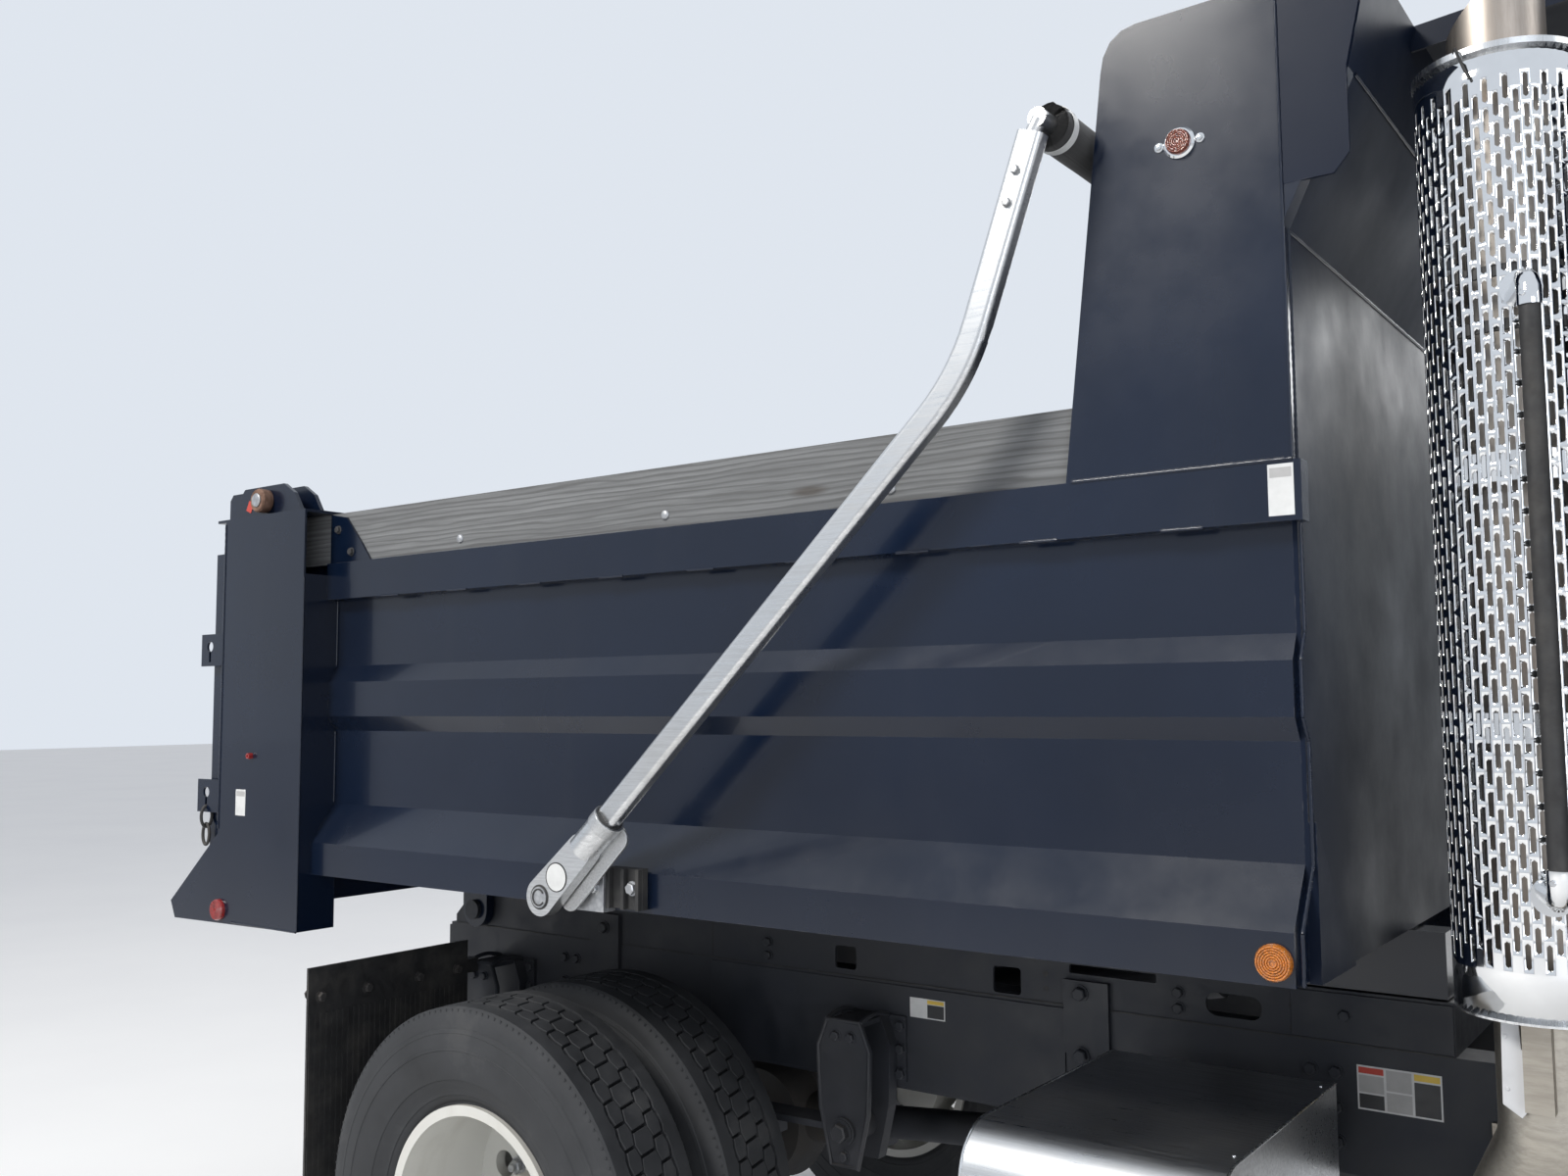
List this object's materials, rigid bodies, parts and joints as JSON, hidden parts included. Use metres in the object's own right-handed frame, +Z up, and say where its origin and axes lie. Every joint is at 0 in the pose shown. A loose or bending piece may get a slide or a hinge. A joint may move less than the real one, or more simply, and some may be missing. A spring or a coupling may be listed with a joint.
{
  "type": "dump truck",
  "caption": "Conventional dump truck on a single rear axle with dual wheels: tipping steel bed, cab shield, tarp arms, exhaust stack, and a bonneted cab.",
  "frame": {"origin": "on the ground, below the middle of the whole truck", "axes": "+X ahead, +Y to the driver's left, +Z up"},
  "size_m": [6.739, 2.84, 3.0398],
  "materials": {
    "bed_paint": "gloss navy paint",
    "cab_paint": "gloss navy paint",
    "frame_paint": "satin dark grey paint",
    "axle_iron": "dusty painted iron",
    "tyre_rubber": "matt",
    "rim_paint": "white paint with dust",
    "bare_aluminium": "brushed",
    "bright_metal": "polished",
    "can_steel": "heat stained",
    "pane_glass": "clear, lightly tinted",
    "cabin_trim": "grained",
    "seat_cloth": "woven",
    "plank": "weathered, bare",
    "flap_rubber": "matt, dusty",
    "lamp_lens": "clear moulded lens",
    "tarp_cloth": "coated mesh"
  },
  "bodies": {
    "chassis": {"frame_rails": "frame_paint", "frame_crossmembers": "frame_paint", "subframe": "frame_paint", "bumper": "bright_metal", "front_axle": "axle_iron", "rear_axle": "axle_iron", "driveshaft": "frame_paint", "rear_spring_right": "frame_paint", "rear_spring_left": "frame_paint", "front_springs": "frame_paint", "engine_block": "axle_iron", "exhaust_stack": "bright_metal", "exhaust_can": "can_steel", "battery_box": "bare_aluminium", "fuel_tank": "bare_aluminium", "cab_steps": "bare_aluminium", "mud_flaps": "flap_rubber", "tail_lamps": "lamp_lens", "cab_floor": "cab_paint", "cab_back": "cab_paint", "cab_roof": "cab_paint", "cab_front": "cab_paint", "cab_side_right": "cab_paint", "cab_side_left": "cab_paint", "cab_panes": "pane_glass", "seats": "seat_cloth", "dashboard": "cabin_trim"},
    "dump_body": {"bed_floor": "bed_paint", "bed_side_right": "bed_paint", "bed_side_left": "bed_paint", "front_wall": "bed_paint", "cab_shield": "bed_paint", "side_boards": "plank", "marker_lamps": "lamp_lens"},
    "tailgate": {"tailgate": "bed_paint"},
    "tarp": {"tarp_arms": "bare_aluminium", "tarp_roll": "tarp_cloth"},
    "hood": {"hood": "cab_paint", "grille": "bright_metal", "headlamps": "lamp_lens"},
    "hoist_barrel": {"hoist_barrel": "frame_paint"},
    "hoist_rod": {"hoist_rod": "bright_metal"},
    "door_right": {"door_right": "cab_paint", "door_pane_right": "pane_glass"},
    "knuckle_right": {"knuckle_right": "axle_iron"},
    "front_wheel_right": {"front_tyre_right": "tyre_rubber", "front_rim_right": "rim_paint"},
    "rear_wheel_right": {"rear_tyres_right": "tyre_rubber", "rear_rims_right": "rim_paint"},
    "door_left": {"door_left": "cab_paint", "door_pane_left": "pane_glass"},
    "knuckle_left": {"knuckle_left": "axle_iron"},
    "front_wheel_left": {"front_tyre_left": "tyre_rubber", "front_rim_left": "rim_paint"},
    "rear_wheel_left": {"rear_tyres_left": "tyre_rubber", "rear_rims_left": "rim_paint"}
  },
  "joints": [
    {"name": "bed", "type": "hinge", "parent": "chassis", "child": "dump_body", "pos_m": [-2.9005, 0, 1.12], "axis": [0, -1, 0], "range_deg": [0, 50]},
    {"name": "tailgate", "type": "hinge", "parent": "dump_body", "child": "tailgate", "pos_m": [-2.9805, 0, 2.355], "axis": [0, 1, 0], "range_deg": [0, 70]},
    {"name": "tarp", "type": "hinge", "parent": "dump_body", "child": "tarp", "pos_m": [-1.7415, 0, 1.342], "axis": [0, 1, 0], "range_deg": [-94, 0]},
    {"name": "hood", "type": "hinge", "parent": "chassis", "child": "hood", "pos_m": [3.1395, 0, 0.79], "axis": [0, 1, 0], "range_deg": [0, 60]},
    {"name": "hoist_barrel", "type": "hinge", "parent": "chassis", "child": "hoist_barrel", "pos_m": [-1.7505, 0, 0.86], "axis": [0, -1, 0], "range_deg": [0, 67.46]},
    {"name": "hoist_rod", "type": "slide", "parent": "hoist_barrel", "child": "hoist_rod", "axis": [0.9738, 0, 0.2272], "range_m": [0, 0.8699]},
    {"name": "door_right", "type": "hinge", "parent": "chassis", "child": "door_right", "pos_m": [1.742, -1.062, 1.5], "axis": [0, 0, 1], "range_deg": [0, 70]},
    {"name": "steering_right", "type": "hinge", "parent": "chassis", "child": "knuckle_right", "pos_m": [2.2495, -0.8, 0.525], "axis": [0, 0, 1], "range_deg": [-32, 32]},
    {"name": "front_wheel_right", "type": "hinge", "parent": "knuckle_right", "child": "front_wheel_right", "pos_m": [2.2495, -1.03, 0.525], "axis": [0, 1, 0], "continuous": true},
    {"name": "rear_wheel_right", "type": "hinge", "parent": "chassis", "child": "rear_wheel_right", "pos_m": [-2.0505, -0.915, 0.525], "axis": [0, 1, 0], "continuous": true},
    {"name": "door_left", "type": "hinge", "parent": "chassis", "child": "door_left", "pos_m": [1.742, 1.062, 1.5], "axis": [0, 0, -1], "range_deg": [0, 70]},
    {"name": "steering_left", "type": "hinge", "parent": "chassis", "child": "knuckle_left", "pos_m": [2.2495, 0.8, 0.525], "axis": [0, 0, 1], "range_deg": [-32, 32]},
    {"name": "front_wheel_left", "type": "hinge", "parent": "knuckle_left", "child": "front_wheel_left", "pos_m": [2.2495, 1.03, 0.525], "axis": [0, 1, 0], "continuous": true},
    {"name": "rear_wheel_left", "type": "hinge", "parent": "chassis", "child": "rear_wheel_left", "pos_m": [-2.0505, 0.915, 0.525], "axis": [0, 1, 0], "continuous": true}
  ],
  "couplings": [
    {"joint": "hoist_barrel", "follows": "bed", "ratio": 1.3482},
    {"joint": "hoist_rod", "follows": "bed", "m_per_rad": 0.99623},
    {"joint": "steering_right", "follows": "steering_left", "ratio": 1}
  ]
}
